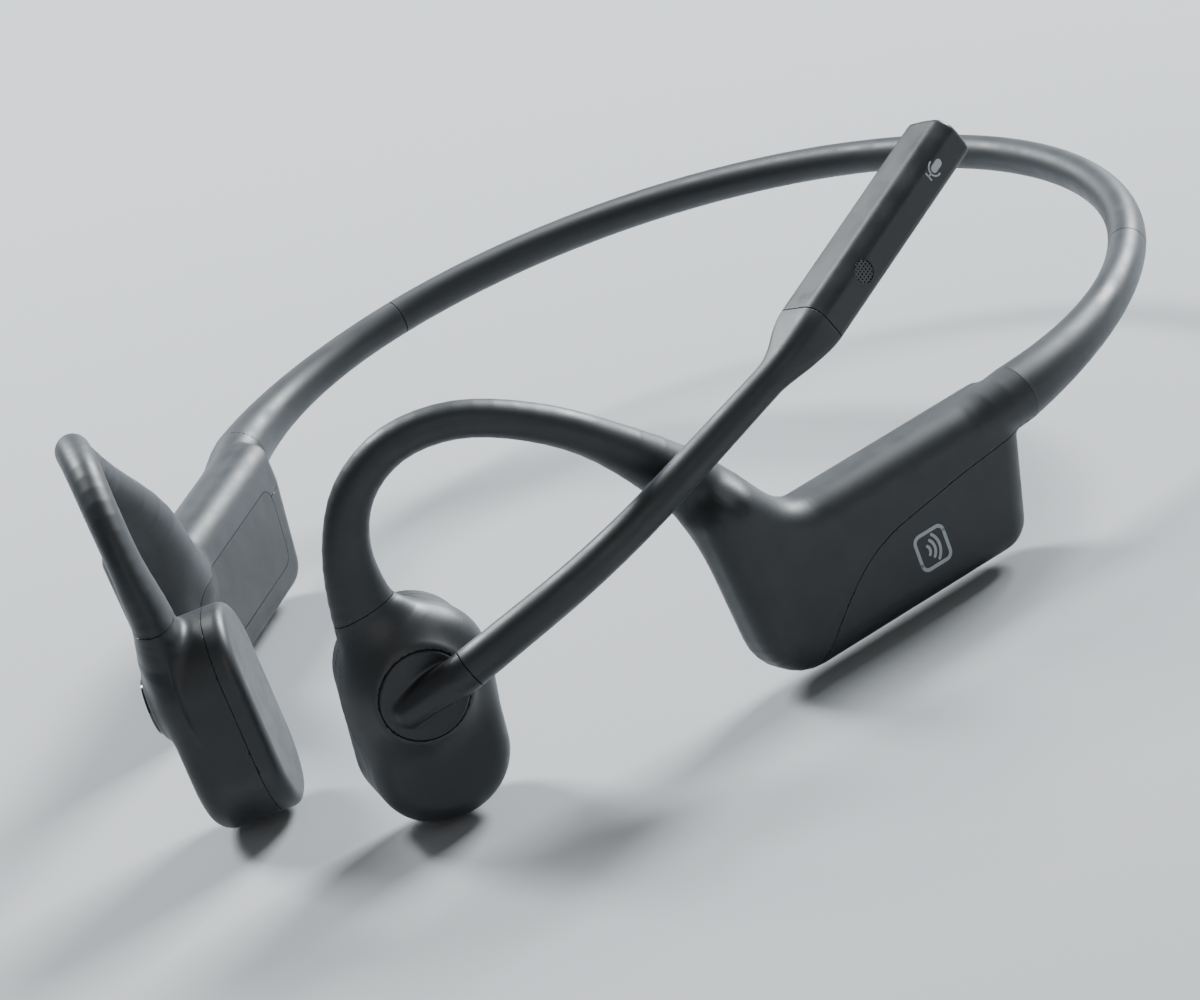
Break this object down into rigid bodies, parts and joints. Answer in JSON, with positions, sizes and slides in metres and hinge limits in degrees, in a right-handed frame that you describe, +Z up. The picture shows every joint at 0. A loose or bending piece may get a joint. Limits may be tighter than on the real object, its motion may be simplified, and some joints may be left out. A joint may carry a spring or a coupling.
{
  "type": "bone conduction headphones",
  "caption": "Bone conduction headphones with a flexible neckband, ear hooks, speaker capsules in front of the ears and a microphone boom that swings on one capsule",
  "frame": {"origin": "bottom centre of the bounding box at rest, on the mirror plane of the headset", "axes": "+X to the wearer's left, the boom side; -Y to the wearer's front, so the neckband is at +Y; +Z up"},
  "size_m": [0.128, 0.137, 0.0489],
  "materials": {
    "soft_skin": "matte silicone skin with a fine soft-touch texture",
    "boom_soft": "matte soft sleeve",
    "speaker_pad": "smooth matte silicone towards the skin",
    "titanium": "drawn spring titanium wire",
    "lead_jacket": "thin insulated wire",
    "hard_cover": "fine-textured dark housing",
    "inner_plastic": "moulded nylon",
    "screw_steel": "zinc-plated screw",
    "speaker_shell": "soft-touch painted shell",
    "steel": "stamped steel",
    "magnet": "nickel-plated magnet",
    "copper": "copper",
    "battery_wrap": "foil pouch",
    "switch_metal": "small stamped can",
    "board": "solder-masked board",
    "chip": "moulded package",
    "gold_pin": "gold-plated contact",
    "light_pipe": "clear acrylic",
    "boom_hard": "satin moulded plastic",
    "mesh_steel": "blackened woven mesh",
    "gloss_ring": "polished ring",
    "button_cap": "satin button cap"
  },
  "bodies": {
    "headset": {"battery_cell": "battery_wrap", "boom_friction_washer": "steel", "button_ring": "gloss_ring", "button_switch": "switch_metal", "charge_contact_block": "inner_plastic", "charge_contact_pins": "gold_pin", "key_board": "board", "key_switches": "switch_metal", "left_capsule_pad": "speaker_pad", "left_capsule_shell": "speaker_shell", "left_ear_hook_skin": "soft_skin", "left_hook_core_wire": "titanium", "left_hook_lead": "lead_jacket", "left_pod_cover": "hard_cover", "left_pod_inner_cover": "hard_cover", "left_pod_tray": "inner_plastic", "left_vibration_plate": "steel", "left_voice_coil": "copper", "main_board": "board", "main_board_chips": "chip", "near_field_coil": "copper", "neckband_core_wire": "titanium", "neckband_lead": "lead_jacket", "neckband_skin_centre": "soft_skin", "neckband_skin_left": "soft_skin", "neckband_skin_right": "soft_skin", "pod_screws": "screw_steel", "radio_antenna": "copper", "right_capsule_pad": "speaker_pad", "right_capsule_shell": "speaker_shell", "right_ear_hook_skin": "soft_skin", "right_hook_core_wire": "titanium", "right_hook_lead": "lead_jacket", "right_pod_cover": "hard_cover", "right_pod_inner_cover": "hard_cover", "right_pod_tray": "inner_plastic", "right_vibration_plate": "steel", "right_voice_coil": "copper", "status_light_pipe": "light_pipe"},
    "boom": {"boom_core_wire": "titanium", "boom_hub_disc": "boom_hard", "boom_lead": "lead_jacket", "boom_neck": "boom_soft", "boom_pivot_shaft": "steel", "boom_retaining_clip": "steel", "boom_stalk_skin": "boom_soft", "mic_board": "board", "mic_capsule": "switch_metal", "mic_head_back": "boom_hard", "mic_head_front": "boom_hard", "mic_mesh": "mesh_steel"},
    "left_driver": {"left_driver_yoke": "steel", "left_driver_magnet": "magnet", "left_driver_spring": "steel"},
    "right_driver": {"right_driver_yoke": "steel", "right_driver_magnet": "magnet", "right_driver_spring": "steel"},
    "multifunction_button": {"multifunction_button": "button_cap"},
    "volume_up_key": {"volume_up_key": "hard_cover"},
    "volume_down_key": {"volume_down_key": "hard_cover"}
  },
  "joints": [
    {"name": "boom_swing", "type": "hinge", "parent": "headset", "child": "boom", "pos_m": [0.02064, -0.06403, 0.01703], "axis": [0.8041, -0.5928, -0.0454], "range_deg": [-5, 185]},
    {"name": "multifunction_button_press", "type": "slide", "parent": "headset", "child": "multifunction_button", "axis": [0.8041, 0.5928, 0.0454], "range_m": [0, 0.00035], "stiffness_N_per_m": 1500, "springref_m": -0.0004},
    {"name": "volume_up_press", "type": "slide", "parent": "headset", "child": "volume_up_key", "axis": [0, 0, 1], "range_m": [0, 0.0003], "stiffness_N_per_m": 1500, "springref_m": -0.0004},
    {"name": "volume_down_press", "type": "slide", "parent": "headset", "child": "volume_down_key", "axis": [0, 0, 1], "range_m": [0, 0.0003], "stiffness_N_per_m": 1500, "springref_m": -0.0004},
    {"name": "left_driver_vibration", "type": "slide", "parent": "headset", "child": "left_driver", "axis": [0.8041, -0.5928, -0.0454], "range_m": [-0.00012, 0.00012], "stiffness_N_per_m": 900},
    {"name": "right_driver_vibration", "type": "slide", "parent": "headset", "child": "right_driver", "axis": [-0.8041, -0.5928, -0.0454], "range_m": [-0.00012, 0.00012], "stiffness_N_per_m": 900}
  ]
}
